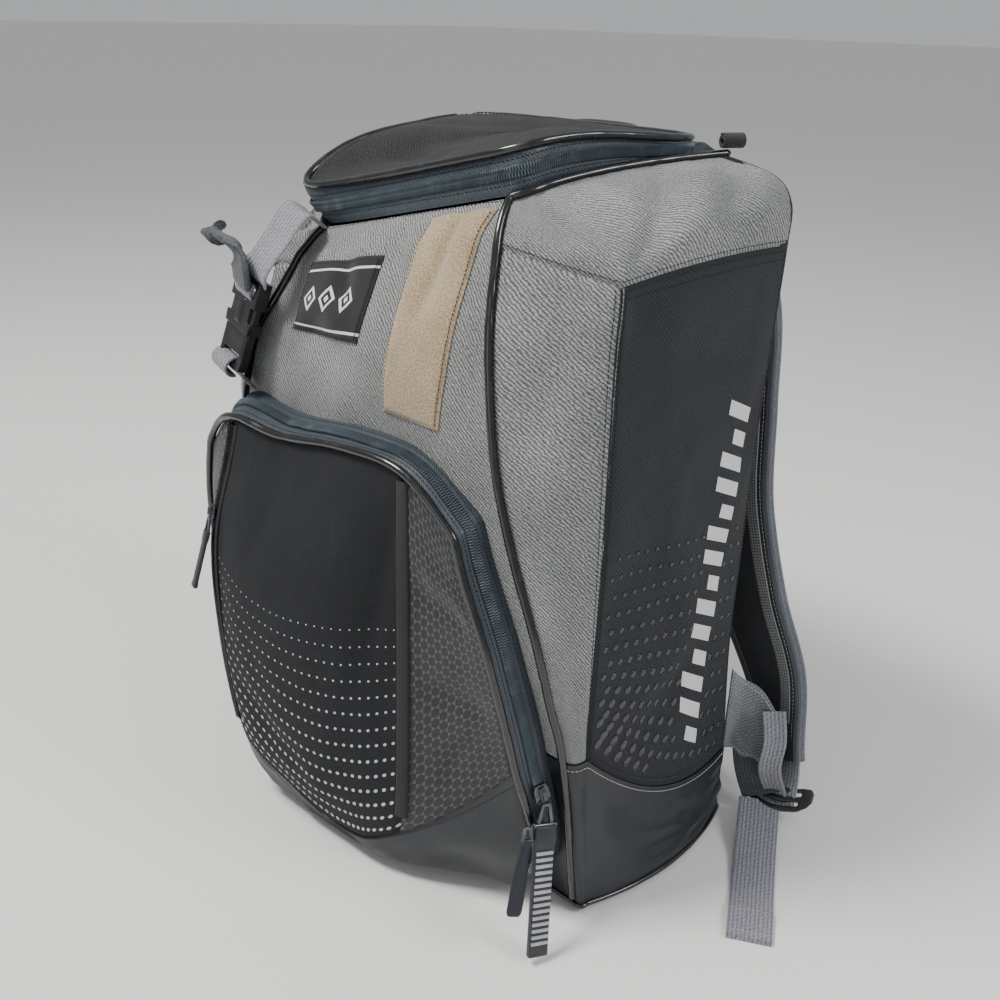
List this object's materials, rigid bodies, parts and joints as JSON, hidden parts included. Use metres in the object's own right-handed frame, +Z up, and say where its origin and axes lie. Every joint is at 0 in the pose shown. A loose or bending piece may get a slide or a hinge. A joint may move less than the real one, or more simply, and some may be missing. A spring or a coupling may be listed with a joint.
{
  "type": "baseball bat backpack",
  "caption": "Tall stuffed ball-player's backpack: drooping zipped lid, domed front pocket, side buckle strap, padded shoulder straps with webbing tails on the floor.",
  "frame": {"origin": "middle of the underside of the base, where the pack rests on the floor", "axes": "+Z up, -Y towards the front pocket, +X towards the wearer's right strap as seen from the front at the viewer's right"},
  "size_m": [0.559, 0.3373, 0.4953],
  "materials": {
    "gray_twill": "heather twill, matt",
    "black_twill": "fine black twill, matt",
    "woven_black": "plain weave, matt",
    "coated_fabric": "smooth coated cloth, satin",
    "ripstop": "fine gridded ripstop, satin",
    "spacer_mesh": "padded air mesh, matt",
    "strap_pad": "padded strap, mesh under and twill above",
    "zip_tape": "coated zip tape, satin",
    "zip_coil": "nylon coil",
    "piping_vinyl": "glossy vinyl piping",
    "hook_tape": "looped pile tape, matt",
    "webbing": "ribbed webbing",
    "buckle_plastic": "acetal, fine grain",
    "pull_rubber": "moulded, ribbed",
    "zip_metal": "gunmetal",
    "tag_leather": "smooth, dark"
  },
  "bodies": {
    "root": {"base_cup": "coated_fabric", "front_panel": "gray_twill", "back_panel": "spacer_mesh", "right_gusset": "gray_twill", "left_gusset": "gray_twill", "right_side_panel": "black_twill", "left_side_panel": "black_twill", "right_shoulder": "gray_twill", "left_shoulder": "gray_twill", "right_body_piping": "piping_vinyl", "left_body_piping": "piping_vinyl", "lid_zip_band": "zip_tape", "lid_zip_coil": "zip_coil", "lid_panel": "woven_black", "lid_piping": "piping_vinyl", "lid_zip_end": "zip_coil", "front_patch": "woven_black", "hook_strip": "hook_tape", "pocket_front_panel": "black_twill", "pocket_left_gusset": "ripstop", "pocket_right_gusset": "ripstop", "pocket_base": "coated_fabric", "pocket_zip_band": "zip_tape", "pocket_zip_coil": "zip_coil", "pocket_piping": "piping_vinyl", "pocket_seam_tape": "zip_tape", "pocket_short_zip": "zip_coil", "pocket_zip_slider": "zip_metal", "pocket_pull_bail": "zip_metal", "pocket_pull": "pull_rubber", "tag_ring": "zip_metal", "leather_tag": "tag_leather", "short_zip_slider": "zip_metal", "short_zip_ring": "zip_metal", "short_zip_pull": "pull_rubber", "buckle_socket": "buckle_plastic", "buckle_plug": "buckle_plastic", "buckle_webbing_upper": "webbing", "buckle_webbing_tail": "webbing", "buckle_webbing_lower": "webbing", "right_strap_pad": "strap_pad", "right_ladder_lock": "buckle_plastic", "right_strap_webbing": "webbing", "right_wing_webbing": "webbing", "right_webbing_tail": "webbing", "left_strap_pad": "strap_pad", "left_ladder_lock": "buckle_plastic", "left_strap_webbing": "webbing", "left_wing_webbing": "webbing", "left_webbing_tail": "webbing", "haul_loop": "webbing"}
  },
  "joints": []
}
